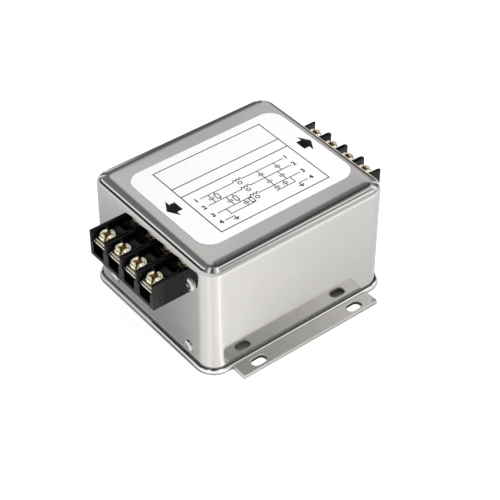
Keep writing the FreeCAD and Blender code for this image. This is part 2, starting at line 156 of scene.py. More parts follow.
def rounded_path(corners, radii, steps=8, closed=True):
    """Points and outward normals along a path whose corners are arcs. Outside is right of the way round.

    At each corner the normal turns evenly from the first run's to the second's, and the arc's centre lies
    its radius in from the arc's start. On an open path the first and last corners are plain ends."""
    corners = np.array(corners, float)
    radii = np.broadcast_to(np.array(radii, float), len(corners)) + 1e-9
    run_in = corners - np.roll(corners, 1, axis=0)
    run_in /= np.linalg.norm(run_in, axis=1, keepdims=True)
    heading = np.arctan2(run_in[:, 1], run_in[:, 0])
    turn = (np.roll(heading, -1) - heading + pi) % (2 * pi) - pi
    side = np.sign(turn)
    normal_in = np.stack([run_in[:, 1], -run_in[:, 0]], -1)
    arc_start = corners - run_in * (radii * np.tan(abs(turn) / 2))[:, None]
    centre = arc_start - normal_in * (radii * side)[:, None]
    angle = heading[:, None] - pi / 2 + turn[:, None] * np.linspace(0, 1, steps)
    normals = np.stack([np.cos(angle), np.sin(angle)], -1)
    points = centre[:, None] + normals * (radii * side)[:, None, None]
    if closed:
        return points.reshape(-1, 2), normals.reshape(-1, 2)
    first, last = normals[1, :1], normals[-2, -1:]
    points = np.concatenate([corners[:1], points[1:-1].reshape(-1, 2), corners[-1:]])
    return points, np.concatenate([first, normals[1:-1].reshape(-1, 2), last])


def rectangle(half_x, half_y, x=0.0, y=0.0):
    """The four corners, anticlockwise from low X and low Y."""
    return np.array([(x - half_x, y - half_y), (x + half_x, y - half_y),
                     (x + half_x, y + half_y), (x - half_x, y + half_y)])


def swept(loop, loop_normals, profile, profile_normals):
    """The profile's points (out, up) carried round the loop: loop point plus out times its normal, at up."""
    out, up = profile[:, None, :1], profile[:, None, 1]
    flat = loop + loop_normals * out
    points = np.concatenate([flat, np.broadcast_to(up[..., None], flat.shape[:2] + (1,))], -1)
    sideways = loop_normals * profile_normals[:, None, :1]
    lift = np.broadcast_to(profile_normals[:, None, 1:], sideways.shape[:2] + (1,))
    return points, np.concatenate([sideways, lift], -1)


def quads(rows, columns):
    """Quads between neighbours on a grid whose rows close on themselves."""
    row, column = np.arange(rows - 1)[:, None], np.arange(columns)[None]
    here, above, next_column = row * columns, (row + 1) * columns, (column + 1) % columns
    return np.stack([here + column, here + next_column, above + next_column, above + column],
                    -1).reshape(-1, 4)


def capped_quads(rows, columns):
    """The same quads as lists, with the grid's first and last rows closed by a flat face each."""
    ring = list(range(columns))
    return quads(rows, columns).tolist() + [ring[::-1], [i + (rows - 1) * columns for i in ring]]


def filled_face(points, rims, downwards):
    """Triangles on the rims' own points that fill the first rim and leave the others, the holes, open.

    A hole is rounded outwards all round, so what would fill it are the triangles with all corners on it."""
    order = np.concatenate(rims)
    owner = np.repeat(np.arange(len(rims)), [len(rim) for rim in rims])
    edges, first = [], 0
    for rim in rims:
        ring = np.arange(len(rim))
        edges += np.stack([ring + first, (ring + 1) % len(rim) + first], -1).tolist()
        first += len(rim)
    _, _, triangles, sources, _, _ = delaunay_2d_cdt(
        [Vector(point) for point in points[order, :2]], edges, [], 1, 1e-9)
    faces = []
    for triangle in triangles:
        corners = [sources[i][0] for i in triangle]
        rims_met = {int(owner[i]) for i in corners}
        if len(rims_met) > 1 or 0 in rims_met:
            face = [int(order[i]) for i in corners]
            faces.append(face[::-1] if downwards else face)
    return faces


def plate_with_holes(loops, low, high, edge):
    """A flat plate from low to high: the first loop is its outline and the rest are holes.

    A section with its two edges rounded is swept round each loop, and the two faces are then filled."""
    profile, profile_normals = rounded_path(
        [(-edge * 2, low), (0, low), (0, high), (-edge * 2, high)], edge, 5, closed=False)
    profile, profile_normals = profile[1:-1], profile_normals[1:-1]
    points, normals, faces, low_rims, high_rims, base = [], [], [], [], [], 0
    for loop, loop_normals in loops:
        grid, grid_normals = swept(loop, loop_normals, profile, profile_normals)
        rows, columns = grid.shape[:2]
        faces += (quads(rows, columns) + base).tolist()
        points.append(grid.reshape(-1, 3))
        normals.append(grid_normals.reshape(-1, 3))
        low_rims.append(np.arange(base, base + columns))
        base += rows * columns
        high_rims.append(np.arange(base - columns, base))
    points = np.concatenate(points)
    faces += filled_face(points, low_rims, True) + filled_face(points, high_rims, False)
    return points, faces, np.concatenate(normals)


def joined_pieces(*pieces):
    """Closed pieces, each (points, faces, normals), as one such set."""
    counts = np.cumsum([0] + [len(points) for points, _, _ in pieces])
    faces = [[i + int(first) for i in face] for (_, some, _), first in zip(pieces, counts) for face in some]
    return (np.concatenate([points for points, _, _ in pieces]), faces,
            np.concatenate([normals for _, _, normals in pieces]))


def add_object(name, mesh, finish, node):
    """An object on the root body with its finish, in place of a CAD node where one is given."""
    made = bpy.data.objects.new(name, mesh)
    bpy.context.scene.collection.objects.link(made)
    made.data.materials.clear()
    made.data.materials.append(finish)
    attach(made, "root")
    if node:
        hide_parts(node)
    return made


def add_piece(name, points, faces, normals, finish, node, slot):
    """An object with a new mesh. Normals, where given, are the surface's exact ones at its points."""
    mesh = bpy.data.meshes.new(name)
    mesh.from_pydata(points.reshape(-1, 3).tolist(), [], [list(map(int, face)) for face in faces])
    mesh.validate()
    mesh.shade_smooth()
    if normals is not None:
        mesh.normals_split_custom_set_from_vertices(normals.reshape(-1, 3).tolist())
    return add_object(name, mesh, finish, node)


plate_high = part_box("base_plate")[1]
can_low, can_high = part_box("case_can")
rim_high = can_bottom = can_low[2]
wall_x = 51.5 * mm
wall_y = 45.25 * mm
can_corner_r = 8.5 * mm
plate_edge = 0.2 * mm
rim_margin = 1.8 * mm
rim_x, rim_y = wall_x + rim_margin, wall_y + rim_margin
ear_x = 40.1 * mm
ear_in_y, ear_out_y = wall_y + 1.6 * mm, plate_high[1]
ear_top = plate_high[2] - 0.7 * mm
ear_edge = 0.45 * mm
ear_in_r, ear_out_r = 0.6 * mm, 0.8 * mm
tongue_y = ear_in_y + 0.6 * mm
tongue_r, tongue_root_r = 0.3 * mm, 0.05 * mm
middle_inset = 1.15 * mm
slot_x, slot_y = 28.6 * mm, 51.3 * mm
slot_half = np.array([4.0, 2.4]) * mm
slot_end_r = slot_half[1] * 0.999

rim_corners = np.array([(ear_x, -tongue_y), (ear_x, -rim_y), (rim_x, -rim_y),
                        (rim_x, rim_y), (ear_x, rim_y), (ear_x, tongue_y)])
rim_corners = np.concatenate([rim_corners, -rim_corners])
rim_corner_r = can_corner_r + rim_margin
rim_radii = [tongue_r, tongue_root_r, rim_corner_r, rim_corner_r, tongue_root_r, tongue_r] * 2
rim = plate_with_holes([rounded_path(rim_corners, rim_radii, 14)], 0.0, rim_high, plate_edge)
middle_corners = rectangle(wall_x - middle_inset, wall_y - middle_inset)
middle_loop = rounded_path(middle_corners, can_corner_r - middle_inset, 10)
middle = plate_with_holes([middle_loop], rim_high - plate_edge, plate_high[2], plate_edge)
ears = []
for side in (-1, 1):
    ear_y, ear_half_y = side * (ear_in_y + ear_out_y) / 2, (ear_out_y - ear_in_y) / 2
    ear_radii = [ear_out_r, ear_out_r, ear_in_r, ear_in_r][::-side]
    loops = [rounded_path(rectangle(ear_x, ear_half_y, 0, ear_y), ear_radii, 10)]
    for x in (-slot_x, slot_x):
        loops.append(rounded_path(rectangle(*slot_half, x, side * slot_y)[::-1], slot_end_r, 14))
    ears.append(plate_with_holes(loops, 0.0, ear_top, ear_edge))


def punched_plate(points):
    """Rolled and plated plate, fine marks across its length, darker on its edge faces, painted shade in its
    slots.
    """
    x, y, z = (points.axis(letter) for letter in "XYZ")
    cloud = points.noise(9 * mm)
    rolled = points.stretched(16, 1, 1).noise(2.5 * mm, 3.0)
    # Painted shade on the slots' walls: darkened to stand in for the shaded floor under the ears that they
    # mirror.
    beside_slots = abs(abs(y) - slot_y) < slot_half[1] + 0.5 * mm
    short_of_ends = abs(x) < slot_x + slot_half[0] + 3.4 * mm
    painted_slot_shade = beside_slots * short_of_ends * (z < ear_top - 0.25 * mm)
    sheared = z < ear_top - 0.42 * mm
    plate = (0.55 * cloud + 0.45 * rolled).mix((0.62, 0.615, 0.585), (0.84, 0.835, 0.80))
    plate = sheared.mix(plate, (0.46, 0.45, 0.44))
    return {
        # the painted shade colour on the slots' walls
        "Base Color": painted_slot_shade.mix(plate, (0.42, 0.41, 0.39)),
        "Metallic": 1.0,
        "Roughness": 0.10 + 0.10 * rolled,
        "Normal": (rolled + 0.5 * cloud).bumped(1.0, 0.010 * mm),
    }


nickel_dull = material("nickel_dull", punched_plate)
add_piece("base_plate_shown", *joined_pieces(rim, middle, *ears), nickel_dull, "base_plate", "plated_base")


# What the base carries inside the can: the insulating sheet, the board with its parts, the ring choke and
# the two angles that the low rivets grip. None of it shows, so the CAD solids stay, each with its finish.

def coated(first, second, size, roughness, metallic=0.0):
    """A plain coating that wanders between two close colours, with a fine grain."""
    def paint(points):
        cloud = points.noise(size)
        grain = points.noise(size / 8, 3.0)
        return {
            "Base Color": cloud.mix(first, second),
            "Metallic": metallic,
            "Roughness": roughness + 0.08 * grain,
            "Normal": grain.bumped(0.6, 0.004 * mm),
        }
    return paint


inner_finishes = {
    "end_angle": ("zinc_angle", coated((0.52, 0.52, 0.51), (0.60, 0.60, 0.58), 4 * mm, 0.32, 1.0)),
    "insulating_sheet": ("pale_film", coated((0.80, 0.76, 0.60), (0.84, 0.80, 0.66), 6 * mm, 0.35)),
    "circuit_board": ("green_laminate", coated((0.03, 0.16, 0.06), (0.05, 0.20, 0.08), 3 * mm, 0.35)),
    "board_spacers": ("turned_brass", coated((0.72, 0.56, 0.26), (0.78, 0.62, 0.30), 2 * mm, 0.25, 1.0)),
    "board_screws": ("zinc_screw", coated((0.58, 0.58, 0.57), (0.66, 0.66, 0.64), 2 * mm, 0.25, 1.0)),
    "choke_core": ("core_case", coated((0.02, 0.02, 0.022), (0.035, 0.035, 0.04), 3 * mm, 0.45)),
    "choke_winding": ("enamelled_copper", coated((0.55, 0.20, 0.07), (0.66, 0.27, 0.10), 3 * mm, 0.25, 1.0)),
    "earth_capacitor": ("blue_coat", coated((0.03, 0.10, 0.34), (0.05, 0.14, 0.42), 2 * mm, 0.30)),
    "discharge_resistor": ("resistor_coat", coated((0.30, 0.42, 0.50), (0.36, 0.48, 0.55), 2 * mm, 0.40)),
    "_capacitor": ("yellow_box", coated((0.62, 0.42, 0.04), (0.70, 0.48, 0.06), 3 * mm, 0.35)),
    "_lead": ("lead_sleeve", coated((0.012, 0.012, 0.013), (0.03, 0.03, 0.03), 2 * mm, 0.45)),
}
for word, (name, paint) in inner_finishes.items():
    finish = material(name, paint)
    for node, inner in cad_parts.items():
        if word in node and (word != "_capacitor" or not node.startswith("earth")):
            inner.data.materials.clear()
            inner.data.materials.append(finish)


# Case can: drawn from one sheet of steel and nickel plated bright. Its mouth turns out into a flat lip
# that lies on the base plate, and its top is flat with a soft crown towards the rounded edges.

sheet_t = 1.0 * mm
lip_reach = 1.5 * mm
lip_top = can_bottom + 1.6 * mm
can_top = can_high[2]
flat_inset = 8.4 * mm
crown_start = 5.9 * mm
crown_drop = crown_start * tan(radians(9.0))

# Out from the wall's plane and up: the inside from its top down to the mouth, the lip, the outside.
can_profile = [
    (-flat_inset, can_top - sheet_t), (-sheet_t, can_top - sheet_t), (-sheet_t, can_bottom),
    (lip_reach, can_bottom), (lip_reach, lip_top), (0, lip_top), (0, can_top - crown_drop),
    (-crown_start, can_top), (-flat_inset, can_top),
]
can_radii = np.array([0, 2.9, 1.8, 0.03, 1.15, 0.3, 3.9, 30.5, 0]) * mm
can_loop = rounded_path(rectangle(wall_x, wall_y), can_corner_r, 24)
points, normals = swept(*can_loop, *rounded_path(can_profile, can_radii, 16, closed=False))


def bright_nickel(points):
    """Nickel plate: mirror-like, a little duller on the walls, with painted shade in the crease over the lip
    and a painted highlight on the lip.
    """
    height = points.axis("Z")
    on_wall = abs(height - 28 * mm).mapped(22 * mm, 27 * mm, 1.0, 0.0)
    # Painted shade: a thin near-black line in the crease where the wall meets the lip.
    painted_crease_shade = abs(height - (lip_top + 0.03 * mm)).mapped(0.07 * mm, 0.16 * mm, 0.95, 0.0)
    # Painted highlight: the lip is made near white, so that it shows as a bright band.
    painted_lip_highlight = height < lip_top - 0.06 * mm
    cloud = points.noise(11 * mm)
    rub = points.stretched(1, 14, 3).noise(1.6 * mm, 3.0)
    wave = points.noise(7 * mm, 1.0)
    plate = cloud.mix((0.585, 0.57, 0.555), (0.63, 0.615, 0.60))
    plate = painted_lip_highlight.mix(plate, (0.94, 0.93, 0.92))
    return {
        "Base Color": painted_crease_shade.mix(plate, (0.04, 0.04, 0.04)),
        "Metallic": 1.0,
        "Roughness": 0.02 + 0.02 * cloud + 0.03 * rub + 0.07 * on_wall,
        "Normal": wave.bumped(1.0, 0.006 * mm),
    }


nickel = material("nickel_bright", bright_nickel)
faces = capped_quads(*points.shape[:2])
add_piece("case_can_shown", points, faces, normals, nickel, "case_can", "plated_can")


# Terminal strips: two barrier strips moulded in glossy black plastic, one through each end wall. Walls
# between the poles keep the wires apart, and a pocket under each bar lets the screw's end through.

end_turn = {"line": np.array([1, 1, 1]), "load": np.array([-1, -1, 1])}


def merged_copy(node):
    """A copy of a CAD node's mesh with its loose triangles joined and its flat faces made whole."""
    made = bmesh.new()
    made.from_mesh(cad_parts[node].data)
    bmesh.ops.remove_doubles(made, verts=made.verts, dist=1e-6)
    bmesh.ops.dissolve_limit(made, angle_limit=radians(0.5), verts=made.verts, edges=made.edges)
    mesh = bpy.data.meshes.new(node + "_shown")
    made.to_mesh(mesh)
    made.free()
    mesh.shade_smooth()
    mesh.set_sharp_from_angle(angle=radians(30))
    return mesh


def soften_edges(piece, width):
    """Rounds a piece's sharp edges by the given width."""
    bevel = piece.modifiers.new("edges", "BEVEL")
    bevel.width = width
    bevel.segments = 3
    bevel.limit_method = "ANGLE"
    bevel.angle_limit = radians(35)
    bevel.harden_normals = True


def moulded_black(points):
    """Glossy black plastic with a soft sheen of mould marks."""
    cloud = points.noise(5 * mm)
    skin = points.noise(0.5 * mm, 3.0)
    return {
        "Base Color": cloud.mix((0.002, 0.002, 0.0025), (0.004, 0.004, 0.005)),
        "Roughness": 0.14 + 0.10 * cloud,
        "Specular IOR Level": 0.20,
        "Normal": skin.bumped(0.35, 0.004 * mm),
    }


black_plastic = material("black_plastic", moulded_black)
for end in end_turn:
    node = end + "_terminal_body"
    strip = add_object(node + "_shown", merged_copy(node), black_plastic, node)
    soften_edges(strip, 0.18 * mm)


# Contact bars: eight flat bars of plated brass, one to a pole, pushed through the strip from inside. Each
# has a tapped collar under the screw and a solder tail in the can.

def pale_gold(bright, dull, roughness):
    """Plated brass or passivated zinc: pale gold, cloudy, with fine rubbing marks."""
    def paint(points):
        cloud = points.noise(2.5 * mm)
        rub = points.noise(0.35 * mm, 3.0)
        return {
            "Base Color": cloud.mix(dull, bright),
            "Metallic": 1.0,
            "Roughness": roughness + 0.10 * rub,
            "Normal": rub.bumped(0.5, 0.004 * mm),
        }
    return paint


bar_brass = material("bar_brass", pale_gold((1.0, 0.96, 0.84), (0.94, 0.87, 0.70), 0.16))
for end in end_turn:
    for pole in "1234":
        node = end + "_contact_bar_" + pole
        bar = add_object(node + "_shown", merged_copy(node), bar_brass, node)
        soften_edges(bar, 0.10 * mm)


# Clamp plates: a small plate of stamped steel under each screw, plated pale gold, which presses the wire
# on the bar. The four of an end are alike, so they are one piece of four.

pole_pitch = 12.0 * mm
pole_y = (np.arange(4) - 1.5) * pole_pitch
screws_low, screws_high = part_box("line_terminal_screws")
screw_x = (screws_low[0] + screws_high[0]) / 2


def copies_at(piece, places, end):
    """Copies of a piece at the line end's places (x, y, z), turned half a turn about Z for the load end."""
    points, faces, normals = piece
    copies = (points + np.array(places)[:, None]) * end_turn[end]
    all_faces = [[i + k * len(points) for i in face] for k in range(len(places)) for face in faces]
    return copies.reshape(-1, 3), all_faces, np.tile(normals * end_turn[end], (len(places), 1))


def pole_places(height):
    """The places on the four screw axes of the line end at a height."""
    return [(screw_x, y, height) for y in pole_y]


def circle(radius, steps=40, hole=False):
    """A loop with its normals; a hole's runs clockwise, so that its normals point to its middle."""
    angle = np.linspace(0, 2 * pi, steps, endpoint=False) * (-1 if hole else 1)
    out = np.stack([np.cos(angle), np.sin(angle)], -1)
    return radius * out, -out if hole else out


clamp_low, clamp_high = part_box("line_clamp_plates")
clamp_half = (clamp_high[0] - clamp_low[0]) / 2, 3.75 * mm
clamp_loops = [rounded_path(rectangle(*clamp_half), 0.6 * mm, 6), circle(2.2 * mm, hole=True)]
clamp = plate_with_holes(clamp_loops, 0.0, clamp_high[2] - clamp_low[2], 0.12 * mm)
clamp_gold = material("clamp_gold", pale_gold((1.0, 0.97, 0.86), (0.94, 0.88, 0.72), 0.14))
for end in end_turn:
    node = end + "_clamp_plates"
    shown = copies_at(clamp, pole_places(clamp_low[2]), end)
    add_piece(node + "_shown", *shown, clamp_gold, node, "clamp_steel")


# Spring washers: one split ring of square spring steel wire under each screw head, dark, and pressed
# nearly flat. From one end of the wire to the other it climbs a tenth of the washer's height.

washers_low, washers_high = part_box("line_spring_washers")
washer_t = washers_high[2] - washers_low[2]
wire_t = washer_t * 0.9
bore_r, rim_r = 2.2 * mm, 3.4 * mm
half_split = 0.8 * mm / (bore_r + rim_r)
section, section_normals = rounded_path(
    [(bore_r, 0), (rim_r, 0), (rim_r, wire_t), (bore_r, wire_t)], 0.12 * mm, 4)
share = np.linspace(0, 1, 72)
angle = half_split + (2 * pi - 2 * half_split) * share
out = np.stack([np.cos(angle), np.sin(angle)], -1)[:, None]
climb = ((washer_t - wire_t) * share)[:, None, None]
points = np.concatenate([out * section[:, :1], section[:, 1:] + climb], -1)
lift = np.broadcast_to(section_normals[:, 1:], points.shape[:2] + (1,))
normals = np.concatenate([out * section_normals[:, :1], lift], -1)
faces = [face[::-1] for face in capped_quads(*points.shape[:2])]
washer = points.reshape(-1, 3), faces, normals.reshape(-1, 3)
spring_steel = material("spring_steel", coated((0.16, 0.14, 0.11), (0.24, 0.22, 0.18), 1.2 * mm, 0.30, 1.0))
for end in end_turn:
    node = end + "_spring_washers"
    shown = copies_at(washer, pole_places(washers_low[2]), end)
    add_piece(node + "_shown", *shown, spring_steel, node, "spring_steel")


# Terminal screws: pan head screws of zinc plated steel, passivated pale gold, with a slot and a cross
# recess. The colour darkens to brown down in the recess, most where it is deepest.

def screw_gold(points):
    """Pale gold plate, cloudy and lightly dented, that darkens to brown down in the recess."""
    recess = points.node("Attribute", {"attribute_name": "recess"}, {}, "Fac")
    cloud = points.noise(1.4 * mm)
    rub = points.noise(0.3 * mm, 3.0)
    patchy = (1.7 * recess - 0.9 * points.noise(0.8 * mm)).mapped(0.0, 0.6, 0.0, 1.0)
    gold = cloud.mix((0.92, 0.82, 0.56), (1.0, 0.96, 0.80))
    return {
        "Base Color": patchy.mix(gold, (0.15, 0.08, 0.02)),
        "Metallic": 1.0,
        "Roughness": 0.06 + 0.08 * rub,
        "Normal": (cloud + 0.15 * rub).bumped(1.0, 0.10 * mm),
    }


def falling(distance, full, none):
    """1 up to the distance full and 0 from the distance none on, eased between them, in millimetres."""
    share = np.clip((none * mm - abs(distance)) / ((none - full) * mm), 0, 1)
    return share * share * (3 - 2 * share)


head_r, head_h, head_side, thread_r = np.array([4.0, 2.3, 0.75, 2.0]) * mm
head_seat = screws_high[2] - head_h
screw_tip = screws_low[2] - head_seat
below_head = np.array([(0.2 * mm, screw_tip), (thread_r, screw_tip + 0.6 * mm), (thread_r, -0.05 * mm),
                       (head_r - 0.15 * mm, 0), (head_r, 0.12 * mm)])

# The dome from rim to middle: the height follows a cosine, and the radius a sine raised to 0.62, which
# fills out the shoulder.
dome_angle = np.linspace(pi / 2, 0.02, 34)
dome = np.stack([head_r * np.sin(dome_angle) ** 0.62,
                 head_side + (head_h - head_side) * np.cos(dome_angle)], -1)
radius, height = np.concatenate([below_head, dome]).T[..., None]
around = np.linspace(0, 2 * pi, 112, endpoint=False)
slot_turn = radians(40)
along, beside = radius * np.cos(around - slot_turn), radius * np.sin(around - slot_turn)

# How deep each cut goes, in millimetres: a slot from rim to rim, the cross and its sunken middle.
slot_cut = 1.0 * falling(beside, 0.12, 0.92)
cross_cut = 1.35 * np.maximum(falling(beside, 0.135, 1.035) * falling(along, 1.89, 2.79),
                              falling(along, 0.135, 1.035) * falling(beside, 1.89, 2.79))
deepest = 1.5
middle_cut = deepest * falling(radius, 0.23, 2.53)
on_dome = height > head_side
cut = np.maximum(np.maximum(slot_cut, cross_cut), middle_cut) * on_dome
height = np.where(on_dome, np.maximum(height - cut * mm, 0.35 * mm), height)

points = np.stack([radius * np.cos(around), radius * np.sin(around), height], -1)
normals = np.cross(np.roll(points, -1, axis=1) - np.roll(points, 1, axis=1), np.gradient(points, axis=0))
normals /= np.linalg.norm(normals, axis=-1, keepdims=True)
screw = points.reshape(-1, 3), capped_quads(*points.shape[:2]), normals.reshape(-1, 3)
screw_finish = material("screw_gold", screw_gold)
for end in end_turn:
    node = end + "_terminal_screws"
    shown = copies_at(screw, pole_places(head_seat), end)
    screws = add_piece(node + "_shown", *shown, screw_finish, node, "screw_steel")
    recess = screws.data.attributes.new("recess", "FLOAT", "POINT")
    recess.data.foreach_set("value", np.tile((cut / deepest).ravel(), len(pole_y)))


# Blind rivets: aluminium, set from outside, each a shallow dome round the hollow left by its pulled pin.
# Two beside each strip hold it to the wall, and two low on each wall hold the can to the base.

# Radius and distance out from the wall: the shank, the head and its dome, and the pin's hollow.
rivet_head_r = 3.1 * mm
rivet_corners = np.array([
    (0.3, -3.9), (2.0, -3.9), (2.0, 0.0), (3.1, 0.0), (3.1, 0.55),
    (2.1, 1.3), (0.9, 1.3), (0.9, 0.5), (0.3, 0.5),
]) * mm
rivet_radii = np.array([0, 0.2, 0.1, 0.1, 0.25, 0.9, 0.15, 0.1, 0]) * mm
points, normals = swept(*circle(0.0), *rounded_path(rivet_corners, rivet_radii, 6, closed=False))
lay_down = np.array([[0, 0, 1], [0, 1, 0], [-1, 0, 0]])
rivet = points.reshape(-1, 3) @ lay_down, capped_quads(*points.shape[:2]), normals.reshape(-1, 3) @ lay_down
rivet_metal = material("rivet_metal", coated((0.60, 0.60, 0.59), (0.70, 0.70, 0.68), 1.5 * mm, 0.14, 1.0))

base_rivets_low, base_rivets_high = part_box("base_rivets")
base_rivet_z = (base_rivets_low[2] + base_rivets_high[2]) / 2
base_rivet_y = base_rivets_high[1] - rivet_head_r
base_places = [(-wall_x, side * base_rivet_y, base_rivet_z) for side in (-1, 1)]
base_rivets = joined_pieces(*(copies_at(rivet, base_places, end) for end in end_turn))
add_piece("base_rivets_shown", *base_rivets, rivet_metal, "base_rivets", "rivet_aluminium")

strip_rivets_low, strip_rivets_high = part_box("line_strip_rivets")
strip_rivet_y = strip_rivets_high[1] - rivet_head_r
strip_places = [(-wall_x, -strip_rivet_y, strip_rivets_high[2] - rivet_head_r),
                (-wall_x, strip_rivet_y, strip_rivets_low[2] + rivet_head_r)]
for end in end_turn:
    node = end + "_strip_rivets"
    add_piece(node + "_shown", *copies_at(rivet, strip_places, end), rivet_metal, node, "rivet_aluminium")


# Rating label: a sheet of gloss-coated white paper with round corners, stuck on the top. Its print is a
# thin frame, a plain circuit sketch of three lines with numbered ends, and an arrow to each end.

def coated_paper(points):
    """White coated paper: a faint fibre and a soft gloss."""
    fibre = points.stretched(1, 3, 1).noise(0.5 * mm, 4.0)
    cloud = points.noise(9 * mm)
    return {
        "Base Color": cloud.mix((0.95, 0.95, 0.945), (0.97, 0.97, 0.965)),
        "Roughness": 0.34 + 0.10 * fibre,
        "Normal": fibre.bumped(0.25, 0.01 * mm),
    }


label_low, label_high = (np.array(corner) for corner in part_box("rating_label"))
label_middle, label_half = (label_low + label_high) / 2, (label_high - label_low) / 2
label_top = label_high[2]
label_loop = rounded_path(rectangle(*label_half[:2], *label_middle[:2]), 8.0 * mm, 16)
label_paper = material("label_paper", coated_paper)
label = plate_with_holes([label_loop], can_top, label_top, 0.08 * mm)
add_piece("rating_label_shown", *label, label_paper, "rating_label", "label_paper")


def printed_ink(points):
    """Black printing ink, a little uneven."""
    cloud = points.noise(1.0 * mm, 3.0)
    return {
        "Base Color": cloud.mix((0.003, 0.003, 0.003), (0.008, 0.008, 0.008)),
        "Roughness": 0.40 + 0.10 * cloud,
        "Specular IOR Level": 0.15,
    }


ink = material("ink", printed_ink)
ink_low, ink_high = label_top - 0.02 * mm, label_top + 0.015 * mm


def inked(flat):
    """Flat points as two layers, one at the ink's low level and one at its high level."""
    level = np.ones(flat.shape[:-1] + (1,))
    return np.concatenate([flat, level * ink_low], -1), np.concatenate([flat, level * ink_high], -1)


def strokes(runs, width):
    """A thin closed box of ink along each run (x0, y0, x1, y1) in millimetres, its ends square."""
    runs = np.array(runs, float) * mm
    start, stop = runs[:, :2], runs[:, 2:]
    along = stop - start
    along *= width / 2 / np.linalg.norm(along, axis=1, keepdims=True)
    across = np.stack([-along[:, 1], along[:, 0]], -1)
    flat = np.stack([start - along - across, stop + along - across,
                     stop + along + across, start - along + across], 1)
    box = np.array([(3, 2, 1, 0), (4, 5, 6, 7), (0, 1, 5, 4), (1, 2, 6, 5), (2, 3, 7, 6), (3, 0, 4, 7)])
    return np.concatenate(inked(flat), 1), (box + np.arange(len(runs))[:, None, None] * 8).reshape(-1, 4)


def chain(*points):
    """The runs that join the points one after another."""
    return [(*a, *b) for a, b in zip(points, points[1:])]


def print_on_label(name, points, faces):
    """A piece of the label's print, in ink, that stands for no CAD node."""
    add_piece(name, points, faces, None, ink, None, "label_paper")


# The print's places are in millimetres from the middle of the top.
frame_x, frame_y = 1.8, 0.45
frame_half_x, frame_half_y = 31.0, 25.6
outline = rectangle(frame_half_x, frame_half_y, frame_x, frame_y)
runs = chain(*outline, outline[0])
for y in (11.6, 4.7):
    runs += chain((frame_x - frame_half_x, y), (frame_x + frame_half_x, y))
print_on_label("label_frame_print", *strokes(runs, 0.54 * mm))


def choke_coil(y):
    """Three humps of a winding on a line, each half a wave of a sine, and a small ring below them."""
    humps = np.stack([np.linspace(-4.0, 1.0, 22), y + 1.1 * abs(np.sin(np.linspace(0, 3 * pi, 22)))], -1)
    turn = np.linspace(0, 2 * pi, 17)
    ring = np.stack([-1.6 + 1.0 * np.cos(turn), y - 1.9 + 0.9 * np.sin(turn)], -1)
    return chain(*humps) + chain(*ring)


def earth_sign(x, y, inwards):
    """A line's end that drops to three bars, each shorter than the one above."""
    foot = x + 5.0 * inwards
    halves_and_drops = ((1.3, 1.6), (0.8, 2.2), (0.3, 2.8))
    bars = [(foot - half, y - drop, foot + half, y - drop) for half, drop in halves_and_drops]
    return chain((x, y), (foot, y), (foot, y - 1.6)) + bars


def capacitor(x, high, low):
    """Two short plates across the gap between an upper and a lower line."""
    upper, lower = (high + low) / 2 + 0.45, (high + low) / 2 - 0.45
    return [(x, high, x, upper), (x - 1.2, upper, x + 1.2, upper),
            (x - 1.2, lower, x + 1.2, lower), (x, lower, x, low)]


def resistor(x, high, low):
    """A small box on a run between an upper and a lower line."""
    middle = (high + low) / 2
    box = rectangle(0.9, 1.6, x, middle)
    return [(x, high, x, middle + 1.6), (x, middle - 1.6, x, low)] + chain(*box, box[0])


line_y = (-1.3, -7.4, -14.0)
low_y = -18.0
earth_y = -19.9
gaps = list(zip(line_y, (*line_y[1:], low_y)))
runs = []
for y in line_y:
    runs += chain((-22.6, y), (-4.0, y)) + chain((1.0, y), (24.8, y)) + choke_coil(y)
runs += earth_sign(-23.0, earth_y, 1) + earth_sign(24.4, earth_y, -1)
for x, gap in zip((-18.6, -13.0, -8.0), gaps):
    runs += capacitor(x, *gap) + resistor(x + 3.2, *gap)
runs += chain((-18.0, low_y), (-4.8, low_y)) + chain((-18.0, line_y[2]), (-18.0, low_y))
for x, gap in zip((9.6, 9.6, 9.6, 19.3, 16.9, 14.5), gaps * 2):
    runs += capacitor(x, *gap)
runs += chain((8.0, low_y), (18.8, low_y), (18.8, line_y[2]))
print_on_label("label_circuit_print", *strokes(runs, 0.46 * mm))

arrow = np.array([(-3.6, 0), (0, -6.1), (0, -3.1), (3.0, -3.1), (3.0, 3.1), (0, 3.1), (0, 6.1)])
for end, middle in (("line", (-36.2, 0.9)), ("load", (40.6, 1.1))):
    corners = (arrow * end_turn[end][:2] + middle) * mm
    print_on_label("label_arrow_" + end, np.concatenate(inked(corners)), capped_quads(2, len(corners)))

for side, x in (("left", -25.0), ("right", 26.6)):
    for digit, y in zip("1234", (*line_y, earth_y)):
        text = bpy.data.curves.new("digit", "FONT")
        text.body = digit
        text.size = 3.6 * mm
        text.offset = 0.14 * mm
        text.extrude = 0.018 * mm
        text.align_x, text.align_y = "CENTER", "CENTER"
        letter = bpy.data.objects.new("digit", text)
        mesh = bpy.data.meshes.new_from_object(letter)
        mesh.transform(Matrix.Translation((x * mm, y * mm, label_top)))
        bpy.data.objects.remove(letter)
        add_object(f"label_digit_{side}_{digit}", mesh, ink, None)
